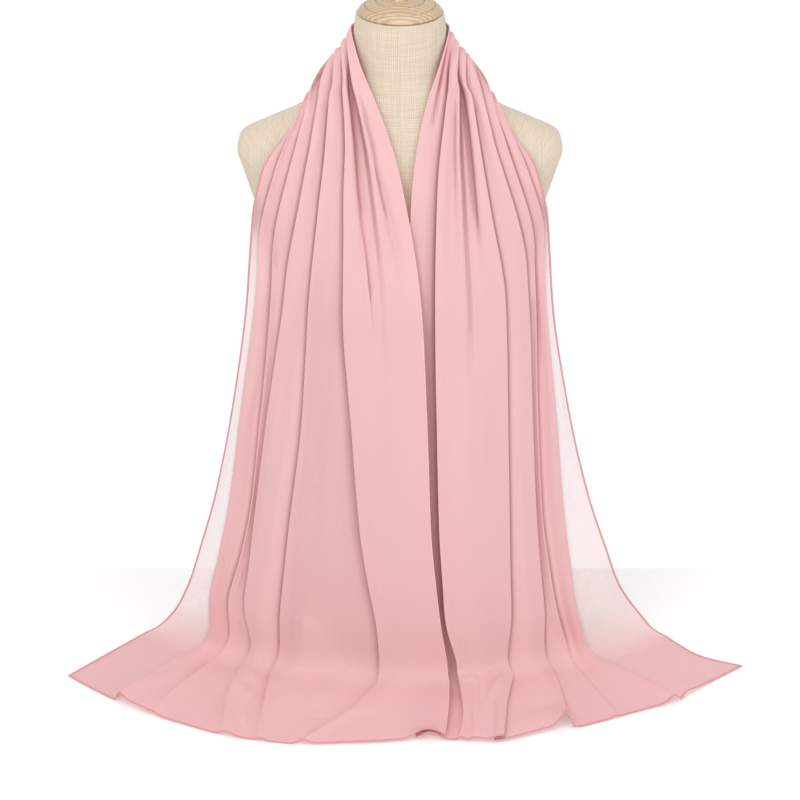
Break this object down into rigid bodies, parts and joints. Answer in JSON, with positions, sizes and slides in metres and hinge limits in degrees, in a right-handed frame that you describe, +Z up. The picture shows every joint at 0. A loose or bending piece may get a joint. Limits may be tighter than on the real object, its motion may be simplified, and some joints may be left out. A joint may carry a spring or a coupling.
{
  "type": "hijab scarf on dress form",
  "caption": "Sheer chiffon hijab scarf hung round the neck of a limbless linen dress form, its pleated ends falling in front and fanning out on the surface.",
  "frame": {"origin": "centre of the stand's underside, on the surface that it stands on", "axes": "+Z up; the front of the form looks along -Y, and +X is to the right of someone who looks at its front"},
  "size_m": [0.8125, 0.3647, 0.8565],
  "materials": {
    "chiffon": "sheer matt crepe",
    "linen": "plain woven, matt",
    "wood": "satin lacquer"
  },
  "bodies": {
    "root": {"scarf_left_fall": "chiffon", "scarf_neck_band": "chiffon", "scarf_right_fall": "chiffon", "form_torso": "linen", "neck_cap": "wood", "stand_post": "wood", "stand_base": "wood"}
  },
  "joints": []
}
